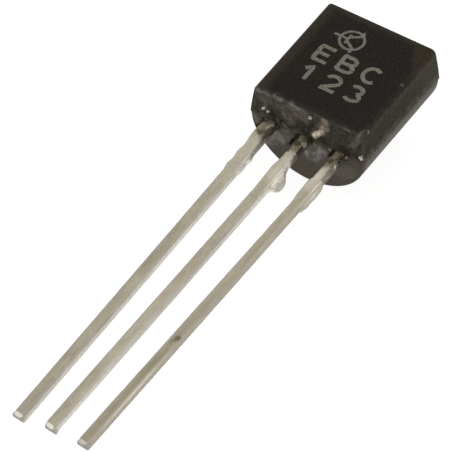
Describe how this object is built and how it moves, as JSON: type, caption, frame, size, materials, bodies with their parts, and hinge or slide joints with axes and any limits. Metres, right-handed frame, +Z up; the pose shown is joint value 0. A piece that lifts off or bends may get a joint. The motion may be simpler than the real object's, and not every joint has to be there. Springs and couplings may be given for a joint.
{
  "type": "to-92 transistor",
  "caption": "Small black moulded transistor with a flat front, a rounded back and three long tinned leads, lying on its back.",
  "frame": {"origin": "centre of the part's footprint, on the surface that it lies on", "axes": "+Z up from the surface, +Y from the lead tips towards the case, +X along the row of leads from emitter to collector"},
  "size_m": [0.0044, 0.019, 0.0037],
  "materials": {
    "case_resin": "transfer-moulded black epoxy with a mineral filler, matt on the flat, slightly shiny behind the parting line",
    "tinned_lead": "stamped copper alloy, dip-tinned, dull warm grey with bright sheared edges",
    "silicon": "polished silicon",
    "attach_resin": "silver-filled die attach",
    "gold_wire": "drawn gold"
  },
  "bodies": {
    "root": {"body": "case_resin", "lead_emitter": "tinned_lead", "lead_base": "tinned_lead", "lead_collector": "tinned_lead", "silicon_die": "silicon", "die_attach": "attach_resin", "bond_wire_emitter": "gold_wire", "bond_wire_base": "gold_wire"}
  },
  "joints": []
}
